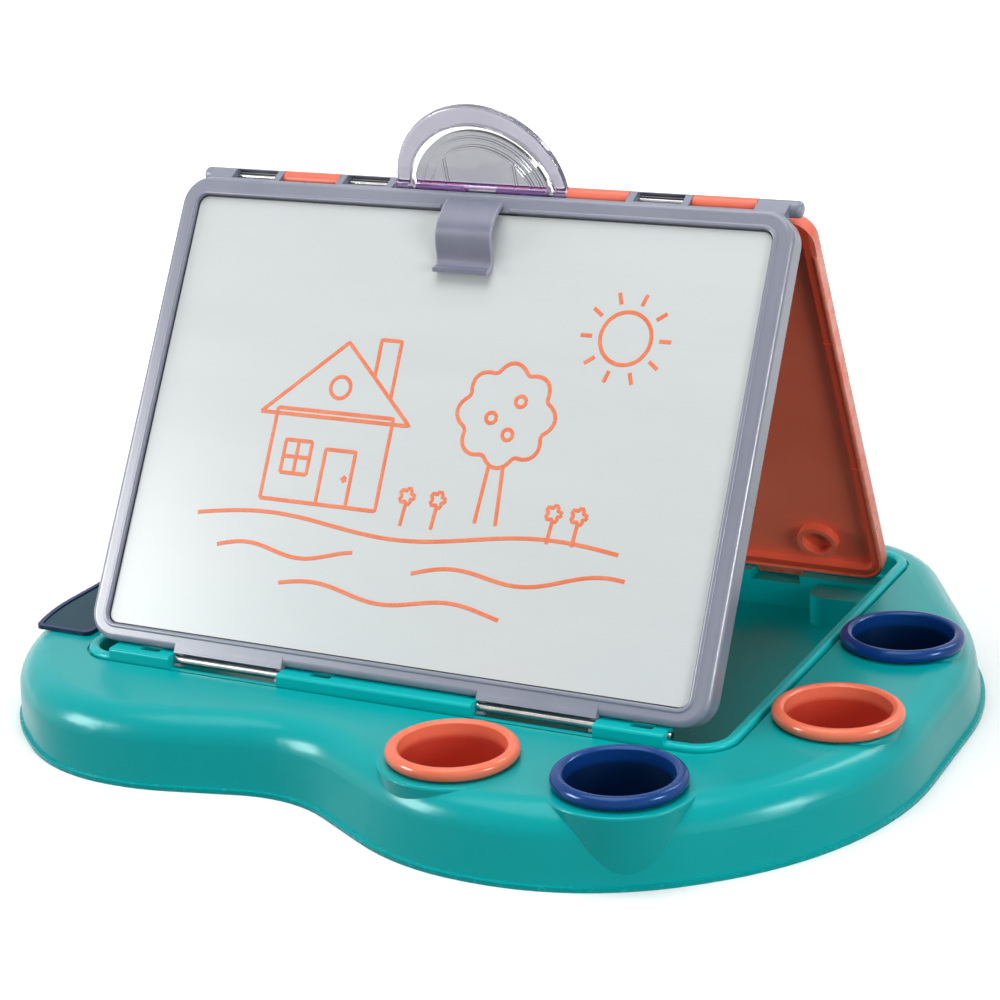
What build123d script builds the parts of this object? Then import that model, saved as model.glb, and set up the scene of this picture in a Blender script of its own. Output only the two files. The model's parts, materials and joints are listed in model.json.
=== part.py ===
from build123d import *
import math
import os

# Table-top kids easel, millimetres, +Z up, origin on the table under the middle of the base outline.
# A kidney-shaped moulded base carries a storage tray, four pencil cups and a lidded side bin.
# A framed whiteboard stands on a steel rod at the tray's front edge, and a second board hinged to
# its top edge props it up from behind.

# Base shell.
TOP_Z = 37
LIP_WIDTH = 1.4
LIP_HEIGHT = 2.4
SKIN = 2.6
SHOULDER = 18
# How far joined and cutting shapes run past the face that they meet.
OVERRUN = 1
FOOT_RADIUS = 8
FOOT_THICK = 2

# Pencil cups: centre x, centre y, and top radius of the collar that the base puts round each.
CUPS = {
    "cup_front_left": (55.5, -171, 37.6),
    "cup_front_right": (143, -170.5, 37.6),
    "cup_side_front": (212.5, -59.5, 31.8),
    "cup_side_rear": (211, 50, 31.8),
}
CUP_RIM = 33
CUP_BEAD = 3.5
CUP_WALL = 1.8
CUP_TOP = 28.8
CUP_FOOT = 24
CUP_FOOT_Z = 5
CUP_PLAY = 0.4
LIFT_GAP = 0.3
COLLAR_TAPER = 3.5
COLLAR_ROUND = 1.3

# Storage tray set into the base.
TRAY_LEFT = -199
TRAY_RIGHT = 177
TRAY_FRONT = -124.5
TRAY_CORNER = 21
BEAD = 6
BEAD_HEIGHT = 2.8
BEAD_ROUND = 2.2
TRAY_WALL = 2.4
TRAY_FLOOR = 4
TRAY_PLAY = 0.4
GROOVE = 1.3
GROOVE_DEPTH = 1.4
LEDGE_DEPTH = 20
LEDGE_TOP = 26
# Room behind the rear board's foot, and from the tray to the base's back edge.
FOOT_ROOM = 2.48
BACK_MARGIN = 38.5
POST_WIDTH = 44
POST_DEPTH = 24
POST_CORNER = 9

# Front board. Along the board: distance from the hinge rod. Across: towards its drawing side.
BOARD_X = -15
TILT = 60
FRAME_HALF = 180
FRAME_BOTTOM = 4.8
FRAME_HEEL = 6
FRAME_TOP = 268.5
FRAME_FRONT = 4
FRAME_STEP = -0.5
FRAME_BACK = -10
FRAME_CORNER = 16
FRAME_ROUND = 3.4
FRAME_WALL = 2.6
BEZEL_SIDE = 10.5
BEZEL_FOOT = 8.9
BEZEL_HEAD = 10.8
PANEL_CORNER = 6
PANEL_THICK = 1.6
PANEL_GAP = 0.7
SEAT_WIDTH = 4.5
SEAT_LEVEL = 0.4
SEAT_THICK = 1.6
COVER_THICK = 2.4
COVER_PLAY = 0.3

# Rods, hinges and their fits.
ROD = 1.5
FOOT_ROD = 2.4
ROD_FIT = 0.06
ROD_Y = -116.7
ROD_Z = 40
# How much shorter than the frame's half width the foot rod and its bars are, on each side.
ROD_SHORT = 17.5
BAR_SHORT = 19.2
BAR_BACK = 5
BAR_COVER = 1.2
BAR_BOTTOM = -7
BAR_ROUND = 1.8
# Slots in the bars' tops: which tab, and how far from its middle.
BAR_SLOTS = ((-1, -48.5), (-1, 56.5), (1, 57))
SLOT_LENGTH = 12
SLOT_WIDTH = 5.6
TAB_LENGTH = 66
TAB_CHEEK = 4
TAB_EYE = 1.5
TAB_MOUTH = 1
TAB_PLAY = 0.4
TAB_TOP = 10
TAB_FRONT = 4.2
TAB_BACK = -4
END_PLAY = 0.4
RIDGE_RISE = 5.4
RIDGE_BACK = -11.5
RIDGE_SHORT = 5
BARREL = 4.5
# Share of the barrel's radius at which a knuckle's web leaves it.
WEB_SHARE = 0.85
HANDLE_X = -3.5
HANDLE_ZONE = 51
KNUCKLE = 35
NOSE = 6
NOSE_ROUND = 2.4
WINDOW_WALL = 4
WINDOW_RIM = 1.3

# Rear board. Along the board: distance from the ridge rod. Across: towards its outer side.
LEAN = 29.6
REAR_SHORT_LEFT = 11
REAR_SHORT_RIGHT = 0.3
REAR_TOP = 7
REAR_INSIDE = -1.5
REAR_OUTSIDE = 7.5
REAR_RIM = 6.7
REAR_FLOOR = 2
REAR_CORNER = 15
REAR_ROUND = 2
CHALK_THICK = 1.6
CHALK_PLAY = 0.3
BOSS_RADIUS = 12
BOSS_WALL = 3
BOSS_SIDE = 38.5
BOSS_UP = 25.5
REAR_TAB_LENGTH = 29
REAR_TAB_THICK = 3.4
REAR_TAB_DROP = 5
REAR_TABS = (-104, 114.5)
FOOT_GAP = 0.4

# Carry handle and its inner flap, both on the ridge rod.
HANDLE_LEAN = 17
HANDLE_OUTER = 50.5
HANDLE_INNER = 43.5
HANDLE_DROP = 5
HANDLE_THICK = 5
HANDLE_ROUND = 1.6
FLAP_GAP = 2.9
FLAP_THICK = 3.2
FLAP_LINE = 1.2
FLAP_ARCS = (37.3, 32.2)
FLAP_LINE_X = 20.4
FLAP_HALF = 38.5
FLAP_NOTCH = 9.5

# Paper clip: its strip's line, down from the frame's top edge and out from the board.
CLIP_X = 2
CLIP_WIDTH = 32.4
CLIP_THICK = 2.2
CLIP_LINE = ((6.5, 5.4), (16.5, 10.5), (25, 11.6), (33.5, 7), (39, 3.45), (45.5, 7.5))

# Side bin and its lid.
LID_INSET = 7
LID_FRONT = -100
LID_BACK = 88
LID_AXIS_X = -206.5
LID_CORNER = 4
LID_BARREL = 3
LID_PIN = 1.2
LID_THICK = 1.6
LID_BORDER = 2.4
LID_BORDER_HEIGHT = 0.7
LID_GAP = 0.3
LID_KNUCKLE = 30
LID_KNUCKLES = (-65, 55)
LUG = 7.5
BIN_INSET = 11
BIN_MARGIN = 9
BIN_DEPTH = 29

# Cover screws: the lowest row's distance from the hinge rod, and the highest row's from the frame's top.
SCREW_SHANK = 1.4
SCREW_HEAD = 2.5
SCREW_HEAD_THICK = 1.3
SCREW_LENGTH = 8
SCREW_PLAY = 0.05
SCREW_BOSS = 2.7
SCREW_FOOT = 30
SCREW_DROP = 34.5


def across(degrees, reach):
    """Y and Z of a length turned up from the +Y direction."""
    angle = math.radians(degrees)
    return reach * math.cos(angle), reach * math.sin(angle)


PANEL_HALF = FRAME_HALF - BEZEL_SIDE
PANEL_BOTTOM = FRAME_BOTTOM + BEZEL_FOOT
PANEL_TOP = FRAME_TOP - BEZEL_HEAD
TAB_MIDDLE = FRAME_HALF / 2
ROD_HALF = FRAME_HALF - ROD_SHORT
BAR_HALF = FRAME_HALF - BAR_SHORT
BAR_TOP = FOOT_ROD + BAR_COVER
RIDGE_UP = FRAME_TOP + RIDGE_RISE
RIDGE_HALF = FRAME_HALF - RIDGE_SHORT
REAR_LEFT = REAR_SHORT_LEFT - FRAME_HALF
REAR_RIGHT = FRAME_HALF - REAR_SHORT_RIGHT

# Planes of the front board, the rear board and the handle, all with X along the hinges.
tilt_y, tilt_z = across(TILT, 1)
lean_y, lean_z = across(LEAN, 1)
grip_y, grip_z = across(HANDLE_LEAN, 1)
FRONT = Plane((BOARD_X, ROD_Y, ROD_Z), x_dir=(1, 0, 0), z_dir=(0, -tilt_z, tilt_y))
RIDGE_POINT = FRONT.from_local_coords((0, RIDGE_UP, RIDGE_BACK))
REAR = Plane(RIDGE_POINT, x_dir=(1, 0, 0), z_dir=(0, lean_y, lean_z))
GRIP = Plane(RIDGE_POINT + Vector(HANDLE_X, 0, 0), x_dir=(1, 0, 0), z_dir=(0, -grip_y, -grip_z))

# The rear board is as long as its lean needs to stand on the tray's ledge, and the tray and the
# base reach back as far as its foot needs.
REAR_LENGTH = (RIDGE_POINT.Z - LEDGE_TOP - FOOT_GAP + REAR_INSIDE * lean_z) / lean_y
TRAY_BACK = REAR.from_local_coords((0, REAR_LENGTH, REAR_OUTSIDE)).Y + FOOT_ROOM + BEAD
BACK_EDGE = TRAY_BACK + BACK_MARGIN

# Base outline on the table: corner x, corner y, corner radius, and how far the wall leans in over
# the run that starts at that corner.
BASE_CORNERS = (
    (-170.8, -193, 97, 8),
    (-115.5, -193, 128, 9),
    (-55.3, -177.5, 69, 9),
    (-26.6, -177.5, 69, 9),
    (50.3, -222.5, 124, 9),
    (144.1, -222.5, 148, 8),
    (255.6, -126, 187, 5),
    (255.6, 76, 195, 7),
    (177, BACK_EDGE, 75, 6),
    (-160.9, BACK_EDGE, 108, 4),
    (-255.6, 96, 148, 0.5),
    (-255.6, -120, 138, 1),
)
FEET_BACK = BACK_EDGE - BACK_MARGIN / 2
FEET = ((-148, -158), (186, -120), (195, 112), (110, FEET_BACK), (-120, FEET_BACK), (-212, 118))


# Shared shapes

def rounded_face(corners):
    """Face bounded by straight runs joined by tangent arcs, from (x, y, radius) corners."""
    count = len(corners)
    ends = []
    for i in range(count):
        here = Vector(corners[i][0], corners[i][1])
        back = (here - Vector(corners[i - 1][0], corners[i - 1][1])).normalized()
        following = corners[(i + 1) % count]
        ahead = (Vector(following[0], following[1]) - here).normalized()
        turn = math.acos(back.dot(ahead))
        reach = corners[i][2] * math.tan(turn / 2)
        ends.append((here - back * reach, here + ahead * reach, back))
    edges = []
    for i in range(count):
        start, finish, way = ends[i]
        edges.append(Line(ends[i - 1][1], start))
        edges.append(TangentArc(start, finish, tangent=way))
    return make_face(edges)


def base_face(share, margin):
    """Base outline at a share of the wall's height (0 table, 1 top), moved in by a margin."""
    count = len(BASE_CORNERS)
    points = [Vector(x, y) for x, y, radius, lean in BASE_CORNERS]
    runs = []
    for i in range(count):
        way = (points[(i + 1) % count] - points[i]).normalized()
        inward = Vector(-way.Y, way.X)
        runs.append((points[i] + inward * (BASE_CORNERS[i][3] * share + margin), way))
    corners = []
    for i in range(count):
        start, way = runs[i - 1]
        next_start, next_way = runs[i]
        cross = way.X * next_way.Y - way.Y * next_way.X
        step = next_start - start
        meet = start + way * ((step.X * next_way.Y - step.Y * next_way.X) / cross)
        shift = (BASE_CORNERS[i - 1][3] + BASE_CORNERS[i][3]) / 2 * share + margin
        corners.append((meet.X, meet.Y, BASE_CORNERS[i][2] - math.copysign(shift, cross)))
    return rounded_face(corners)


def base_body(margin, top, shoulder):
    """Wall body of the base, leaning in, with a rounded shoulder at its top."""
    crown = Pos(0, 0, top) * base_face(top / TOP_Z, margin)
    body = loft([base_face(0, margin), crown], ruled=True)
    return fillet(body.faces().sort_by(Axis.Z)[-1].edges(), shoulder)


def plate(left, right, low, high, corner, bottom, top):
    """Flat plate with rounded corners."""
    sheet = RectangleRounded(right - left, high - low, corner)
    return Pos((left + right) / 2, (low + high) / 2, bottom) * extrude(sheet, top - bottom)


def block(left, right, front, back, bottom, top):
    """Square-edged block between six planes."""
    middle = Pos((left + right) / 2, (front + back) / 2, (bottom + top) / 2)
    return middle * Box(right - left, back - front, top - bottom)


def round_bar(radius, left, right, y, z):
    """Round bar along X."""
    return Pos((left + right) / 2, y, z) * Rot(0, 90, 0) * Cylinder(radius, right - left)


def drawn_out(points, left, right):
    """Straight-sided Y-Z profile drawn out along X."""
    face = make_face(Polyline(*[(left, y, z) for y, z in points], close=True))
    return extrude(face, right - left, dir=(1, 0, 0))


def save(shape, node):
    """Write one node's file."""
    export_step(shape, "parts/" + node + ".step")


os.makedirs("parts", exist_ok=True)


# Side bin lid: smoked plate with a raised border, hinged along its straight inner edge

LID_Z = TOP_Z + LID_GAP
LID_AXIS_Z = LID_Z + LID_BARREL


def lid_face(inset, margin):
    """The base's left side, moved in by an inset, cut off by the hinge line and two ends."""
    reach = Pos(LID_AXIS_X - margin, (LID_FRONT + LID_BACK) / 2)
    ends = Rectangle(-LID_AXIS_X, LID_BACK - LID_FRONT - 2 * margin, align=(Align.MAX, Align.CENTER))
    face = base_face(0, LID_INSET + inset) & (reach * ends)
    rows = face.vertices().group_by(Axis.Y)
    return fillet(rows[0] + rows[-1], LID_CORNER)


def along_y(radius, middle, length):
    """Round bar on the lid's hinge line."""
    return Pos(LID_AXIS_X, middle, LID_AXIS_Z) * Rot(90, 0, 0) * Cylinder(radius, length)


lid = Pos(0, 0, LID_Z) * extrude(lid_face(0, 0), LID_THICK)
border = lid_face(0, 0) - lid_face(LID_BORDER, LID_BORDER)
lid += Pos(0, 0, LID_Z + LID_THICK) * extrude(border, LID_BORDER_HEIGHT)
lugs = []
pins = []
for middle in LID_KNUCKLES:
    lid += along_y(LID_BARREL, middle, LID_KNUCKLE)
    for way in (-1, 1):
        lug_middle = middle + way * (LID_KNUCKLE / 2 + END_PLAY + LUG / 2)
        lug_front = lug_middle - LUG / 2
        lug_back = lug_middle + LUG / 2
        lug = block(
            LID_AXIS_X - LID_BARREL,
            LID_AXIS_X + LID_BARREL,
            lug_front,
            lug_back,
            TOP_Z - OVERRUN,
            LID_AXIS_Z,
        )
        lugs.append(lug + along_y(LID_BARREL, lug_middle, LUG))
        lid -= block(
            LID_AXIS_X - LID_BARREL - END_PLAY,
            LID_AXIS_X + LID_BARREL,
            lug_front - END_PLAY,
            lug_back + END_PLAY,
            TOP_Z,
            LID_AXIS_Z + LID_BARREL,
        )
    pins.append(along_y(LID_PIN, middle, LID_KNUCKLE + 2 * END_PLAY + 2 * LUG))
    lid -= along_y(LID_PIN + ROD_FIT, middle, LID_KNUCKLE + LUG)
save(lid, "side_bin_lid")
save(Compound(children=pins), "lid_hinge_pins")


# Base shell: leaning skirt with a lip, rounded shoulder, cup collars, tray opening and side bin

shell = base_body(LIP_WIDTH, TOP_Z, SHOULDER) + extrude(base_face(0, 0), LIP_HEIGHT)
hollow = base_body(LIP_WIDTH + SKIN, TOP_Z - SKIN, SHOULDER - SKIN)
for x, y, collar_top in CUPS.values():
    collar = Cone(collar_top - COLLAR_TAPER, collar_top, TOP_Z)
    collar = fillet(collar.edges().sort_by(Axis.Z)[-1], COLLAR_ROUND)
    room = Cone(collar_top - COLLAR_TAPER - SKIN, collar_top - SKIN, TOP_Z - SKIN)
    shell += Pos(x, y, TOP_Z / 2) * collar
    hollow += Pos(x, y, (TOP_Z - SKIN) / 2) * room
bin_floor = TOP_Z - BIN_DEPTH
bin_wall = lid_face(BIN_INSET - SKIN, BIN_MARGIN - SKIN)
hollow -= Pos(0, 0, bin_floor - SKIN) * extrude(bin_wall, TOP_Z)
for x, y in FEET:
    hollow -= Pos(x, y, TOP_Z / 2 + FOOT_THICK) * Cylinder(FOOT_RADIUS, TOP_Z)
base = shell - hollow
base -= Pos(0, 0, bin_floor) * extrude(lid_face(BIN_INSET, BIN_MARGIN), TOP_Z)
for x, y, collar_top in CUPS.values():
    base -= Pos(x, y, TOP_Z) * Cylinder(CUP_TOP + CUP_PLAY, 2 * (SKIN + OVERRUN))
edge = BEAD - TRAY_WALL - TRAY_PLAY
base -= plate(
    TRAY_LEFT + edge,
    TRAY_RIGHT - edge,
    TRAY_FRONT + edge,
    TRAY_BACK - edge,
    TRAY_CORNER - edge,
    0,
    TOP_Z + OVERRUN,
)
groove = plate(
    TRAY_LEFT - GROOVE,
    TRAY_RIGHT + GROOVE,
    TRAY_FRONT - GROOVE,
    TRAY_BACK + GROOVE,
    TRAY_CORNER + GROOVE,
    TOP_Z - GROOVE_DEPTH,
    TOP_Z + OVERRUN,
)
base -= groove - plate(TRAY_LEFT, TRAY_RIGHT, TRAY_FRONT, TRAY_BACK, TRAY_CORNER, 0, TOP_Z + OVERRUN)
for lug in lugs:
    base += lug
for middle in LID_KNUCKLES:
    base -= along_y(LID_PIN + ROD_FIT, middle, LID_KNUCKLE + 2 * END_PLAY + 2 * LUG)
save(base, "base_shell")
feet = [Pos(x, y, FOOT_THICK / 2) * Cylinder(FOOT_RADIUS, FOOT_THICK) for x, y in FEET]
save(Compound(children=feet), "rubber_feet")


# Storage tray: well with a rounded bead, hinge bars at the front, a ledge for the rear board's foot

well_left = TRAY_LEFT + BEAD
well_right = TRAY_RIGHT - BEAD
well_front = TRAY_FRONT + BEAD
well_back = TRAY_BACK - BEAD
skirt = BEAD - TRAY_WALL
tub = plate(
    TRAY_LEFT + skirt,
    TRAY_RIGHT - skirt,
    TRAY_FRONT + skirt,
    TRAY_BACK - skirt,
    TRAY_CORNER - skirt,
    TRAY_FLOOR,
    TOP_Z,
)
tray = plate(TRAY_LEFT, TRAY_RIGHT, TRAY_FRONT, TRAY_BACK, TRAY_CORNER, TOP_Z, TOP_Z + BEAD_HEIGHT) + tub
tray -= plate(
    well_left,
    well_right,
    well_front,
    well_back,
    TRAY_CORNER - BEAD,
    TRAY_FLOOR + TRAY_WALL,
    TOP_Z + BEAD_HEIGHT,
)
tray = fillet(tray.faces().sort_by(Axis.Z)[-1].edges(), BEAD_ROUND)
tab_reach = TAB_LENGTH / 2 + END_PLAY
bars = (
    (-BAR_HALF, -TAB_MIDDLE - tab_reach),
    (tab_reach - TAB_MIDDLE, TAB_MIDDLE - tab_reach),
    (TAB_MIDDLE + tab_reach, BAR_HALF),
)
bar_back = ROD_Y + BAR_BACK
bar_bottom = ROD_Z + BAR_BOTTOM
for left, right in bars:
    bar = block(BOARD_X + left, BOARD_X + right, TRAY_FRONT, bar_back, TOP_Z, ROD_Z + BAR_TOP)
    bar = fillet(bar.faces().sort_by(Axis.Z)[-1].edges().filter_by(Axis.X), BAR_ROUND)
    tray += bar + block(BOARD_X + left, BOARD_X + right, well_front - OVERRUN, bar_back, bar_bottom, TOP_Z)
for middle in (-TAB_MIDDLE, TAB_MIDDLE):
    left = BOARD_X + middle - tab_reach
    tray -= block(left, left + 2 * tab_reach, TRAY_FRONT, bar_back, bar_bottom, ROD_Z + BAR_TOP)
tray -= round_bar(FOOT_ROD + ROD_FIT, BOARD_X - ROD_HALF, BOARD_X + ROD_HALF, ROD_Y, ROD_Z)
for way, away in BAR_SLOTS:
    middle = BOARD_X + way * TAB_MIDDLE + away
    tray -= block(
        middle - SLOT_LENGTH / 2,
        middle + SLOT_LENGTH / 2,
        ROD_Y - SLOT_WIDTH / 2,
        ROD_Y + SLOT_WIDTH / 2,
        ROD_Z,
        ROD_Z + BAR_TOP + OVERRUN,
    )
ledge_front = well_back - LEDGE_DEPTH
tray += block(TRAY_LEFT, TRAY_RIGHT, ledge_front, TRAY_BACK, TRAY_FLOOR, LEDGE_TOP) & tub
tray -= block(
    well_left + TRAY_WALL,
    well_right - TRAY_WALL,
    ledge_front + TRAY_WALL,
    well_back - TRAY_WALL,
    TRAY_FLOOR,
    LEDGE_TOP - 2 * TRAY_WALL - REAR_TAB_DROP,
)
notch = REAR_TAB_LENGTH / 2 + 2 * END_PLAY
for middle in REAR_TABS:
    tray -= block(
        BOARD_X + middle - notch,
        BOARD_X + middle + notch,
        ledge_front,
        well_back,
        LEDGE_TOP - REAR_TAB_DROP,
        LEDGE_TOP + OVERRUN,
    )
post = plate(
    well_right - POST_WIDTH,
    well_right + POST_CORNER,
    ledge_front - POST_DEPTH,
    ledge_front + POST_CORNER,
    POST_CORNER,
    TRAY_FLOOR,
    LEDGE_TOP - TRAY_WALL,
)
post -= plate(
    well_right - POST_WIDTH + TRAY_WALL,
    well_right - TRAY_WALL,
    ledge_front - POST_DEPTH + TRAY_WALL,
    ledge_front - TRAY_WALL,
    POST_CORNER - TRAY_WALL,
    TRAY_FLOOR,
    LEDGE_TOP - 2 * TRAY_WALL,
)
tray += post & tub
save(tray, "storage_tray")
save(round_bar(FOOT_ROD, BOARD_X - ROD_HALF, BOARD_X + ROD_HALF, ROD_Y, ROD_Z), "front_hinge_rod")


# Front frame: rounded bezel with a panel seat, rod tabs at the foot and ridge knuckles at the top

def ridge_knuckle(left, right, web):
    """Hinge barrel on the ridge line with the web that joins it to its board."""
    return round_bar(BARREL, left, right, 0, 0) + drawn_out(web, left, right)


bezel = plate(-FRAME_HALF, FRAME_HALF, FRAME_BOTTOM, FRAME_TOP, FRAME_CORNER, FRAME_STEP, FRAME_FRONT)
bezel = fillet(bezel.faces().sort_by(Axis.Z)[-1].edges(), FRAME_ROUND)
frame = bezel + plate(-FRAME_HALF, FRAME_HALF, FRAME_HEEL, FRAME_TOP, FRAME_CORNER, FRAME_BACK, FRAME_STEP)
frame -= plate(
    FRAME_WALL - FRAME_HALF,
    FRAME_HALF - FRAME_WALL,
    FRAME_HEEL + FRAME_WALL,
    FRAME_TOP - FRAME_WALL,
    FRAME_CORNER - FRAME_WALL,
    FRAME_BACK,
    FRAME_FRONT - FRAME_WALL,
)


def panel_plate(margin, bottom, top):
    """Plate the size of the drawing panel's opening, grown by a margin."""
    half = PANEL_HALF + margin
    corner = max(PANEL_CORNER + margin, 1)
    return plate(-half, half, PANEL_BOTTOM - margin, PANEL_TOP + margin, corner, bottom, top)


frame += panel_plate(FRAME_WALL, SEAT_LEVEL - SEAT_THICK, FRAME_FRONT - FRAME_WALL)
frame -= panel_plate(0, SEAT_LEVEL, FRAME_FRONT)
frame -= panel_plate(-SEAT_WIDTH, SEAT_LEVEL - SEAT_THICK, SEAT_LEVEL)
cover_level = FRAME_BACK + COVER_THICK
screw_x = FRAME_HALF - FRAME_WALL - SCREW_BOSS
screw_top = FRAME_TOP - SCREW_DROP
screw_rows = (SCREW_FOOT, (SCREW_FOOT + screw_top) / 2, screw_top)
screw_spots = [(way * screw_x, row) for way in (-1, 1) for row in screw_rows]
for x, row in screw_spots:
    reach = FRAME_FRONT - FRAME_WALL - cover_level
    frame += Pos(x, row, cover_level + reach / 2) * Cylinder(SCREW_BOSS, reach)
    frame -= Pos(x, row, cover_level + SCREW_LENGTH / 2) * Cylinder(SCREW_SHANK + SCREW_PLAY, SCREW_LENGTH)
eye = FOOT_ROD + TAB_EYE
tab_bottom = FOOT_ROD + TAB_PLAY
for way in (-1, 1):
    left = way * TAB_MIDDLE - TAB_LENGTH / 2
    right = left + TAB_LENGTH
    for cheek in (left, right - TAB_CHEEK):
        frame += round_bar(eye, cheek, cheek + TAB_CHEEK, 0, 0)
        frame += block(cheek, cheek + TAB_CHEEK, 0, TAB_TOP, -eye, eye)
    frame -= block(left, right, -eye, tab_bottom, TAB_MOUTH, TAB_FRONT)
    frame += block(left, right, tab_bottom, TAB_TOP, TAB_BACK, TAB_FRONT)
frame -= round_bar(FOOT_ROD + ROD_FIT, -FRAME_HALF, FRAME_HALF, 0, 0)
drop = FRAME_TOP - RIDGE_UP
front_web = (
    (drop - FRAME_WALL, FRAME_BACK - RIDGE_BACK),
    (drop - FRAME_WALL, BARREL * 2),
    (drop, BARREL * 2),
    (BARREL / 2, BARREL * WEB_SHARE),
    (0, 0),
    (drop + FRAME_WALL / 2, FRAME_BACK - RIDGE_BACK),
)
near = HANDLE_ZONE
far = HANDLE_ZONE + KNUCKLE + END_PLAY
farther = far + KNUCKLE + END_PLAY
farthest = farther + KNUCKLE + END_PLAY
ridge_end = RIDGE_HALF + WINDOW_WALL / 2
front_knuckles = (
    (NOSE - ridge_end, HANDLE_X - farther),
    (HANDLE_X - near - KNUCKLE, HANDLE_X - near),
    (HANDLE_X + far, HANDLE_X + far + KNUCKLE),
    (HANDLE_X + farthest, ridge_end - NOSE),
)
windows = ((HANDLE_X - farther - KNUCKLE, HANDLE_X - farther), front_knuckles[1], front_knuckles[2])
ridge_place = Pos(0, RIDGE_UP, RIDGE_BACK)
for left, right in front_knuckles:
    frame += ridge_place * ridge_knuckle(left, right, front_web)
nose = round_bar(BARREL, -ridge_end, 2 * NOSE - ridge_end, 0, 0)
nose = fillet(nose.edges().sort_by(Axis.X)[0], NOSE_ROUND)
frame += ridge_place * (nose + mirror(nose, about=Plane.YZ))
deep = BARREL - WINDOW_RIM
for left, right in windows:
    frame -= ridge_place * block(left + WINDOW_WALL, right - WINDOW_WALL, -deep, deep, -deep, 3 * BARREL)
frame -= ridge_place * round_bar(ROD + ROD_FIT, -RIDGE_HALF, RIDGE_HALF, 0, 0)
save(FRONT * frame, "front_frame")
save(FRONT * panel_plate(-PANEL_GAP, SEAT_LEVEL, SEAT_LEVEL + PANEL_THICK), "whiteboard_panel")
save(REAR * round_bar(ROD, -RIDGE_HALF, RIDGE_HALF, 0, 0), "ridge_rod")


# Back cover of the front board and its countersunk screws

inside = FRAME_WALL + COVER_PLAY
cover = plate(
    inside - FRAME_HALF,
    FRAME_HALF - inside,
    FRAME_HEEL + inside,
    FRAME_TOP - inside,
    FRAME_CORNER - inside,
    FRAME_BACK,
    cover_level,
)
screws = []
for x, row in screw_spots:
    cover -= Pos(x, row, FRAME_BACK) * Cylinder(SCREW_HEAD + COVER_PLAY, 2 * SCREW_HEAD_THICK)
    cover -= Pos(x, row, cover_level) * Cylinder(SCREW_SHANK + COVER_PLAY, 2 * COVER_THICK)
    seat = FRAME_BACK + SCREW_HEAD_THICK
    head = Pos(x, row, seat - SCREW_HEAD_THICK / 2) * Cylinder(SCREW_HEAD, SCREW_HEAD_THICK)
    shank = Pos(x, row, seat + SCREW_LENGTH / 2) * Cylinder(SCREW_SHANK, SCREW_LENGTH)
    screws.append(FRONT * (head + shank))
save(FRONT * cover, "front_back_cover")
save(Compound(children=screws), "back_cover_screws")


# Paper clip: one strip bent into an S, its root on the frame's top bar

line = Spline(*[(FRAME_TOP - down, out) for down, out in CLIP_LINE])
strip = Plane.YZ * trace(line, CLIP_THICK)
clip = Pos(CLIP_X - CLIP_WIDTH / 2, 0, 0) * extrude(strip, CLIP_WIDTH, dir=(1, 0, 0))
save(FRONT * clip, "paper_clip")


# Rear board: shallow pan open to the inside, with ridge knuckles, ring bosses and foot tabs

pan = plate(REAR_LEFT, REAR_RIGHT, REAR_TOP, REAR_LENGTH, REAR_CORNER, REAR_INSIDE, REAR_OUTSIDE)
pan = fillet(pan.faces().sort_by(Axis.Z)[-1].edges(), REAR_ROUND)
rear_level = REAR_OUTSIDE - CHALK_THICK


def pan_plate(margin, bottom, top):
    """Plate inside the rear board's rim, shrunk by a margin."""
    edge = REAR_RIM + margin
    return plate(
        REAR_LEFT + edge,
        REAR_RIGHT - edge,
        REAR_TOP + edge,
        REAR_LENGTH - edge,
        REAR_CORNER - REAR_RIM,
        bottom,
        top,
    )


pan -= pan_plate(0, REAR_INSIDE, rear_level - REAR_FLOOR)
pan -= pan_plate(0, rear_level, REAR_OUTSIDE)
for x in (REAR_LEFT + BOSS_SIDE, REAR_RIGHT - BOSS_SIDE):
    height = rear_level - REAR_FLOOR - REAR_INSIDE
    spot = Pos(x, REAR_LENGTH - BOSS_UP, REAR_INSIDE + height / 2)
    pan += spot * (Cylinder(BOSS_RADIUS, height) - Cylinder(BOSS_RADIUS - BOSS_WALL, height))
for middle in REAR_TABS:
    half = REAR_TAB_LENGTH / 2
    pan += block(
        middle - half,
        middle + half,
        REAR_LENGTH - REAR_RIM,
        REAR_LENGTH + REAR_TAB_DROP,
        REAR_INSIDE,
        REAR_INSIDE + REAR_TAB_THICK,
    )
rear_web = (
    (0, BARREL * WEB_SHARE),
    (REAR_TOP + REAR_ROUND, REAR_OUTSIDE - REAR_ROUND),
    (REAR_TOP + REAR_ROUND, REAR_INSIDE),
    (BARREL / 2, REAR_INSIDE),
    (0, 0),
)
for left in (HANDLE_X - far - KNUCKLE, HANDLE_X + near, HANDLE_X + farther):
    pan += ridge_knuckle(left, left + KNUCKLE, rear_web)
pan -= round_bar(ROD + ROD_FIT, -RIDGE_HALF, RIDGE_HALF, 0, 0)
save(REAR * pan, "rear_shell")
save(REAR * pan_plate(CHALK_PLAY, rear_level, REAR_OUTSIDE), "chalkboard_panel")


# Carry handle: clear arch with an eye at each foot

def half_disc(radius, drop, bottom, top):
    """Part of a disc, its centre dropped below the ridge line, that stands above that line."""
    above = Rectangle(2 * radius, radius, align=(Align.CENTER, Align.MIN))
    return Pos(0, 0, bottom) * extrude((Pos(0, -drop) * Circle(radius)) & above, top - bottom)


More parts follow.
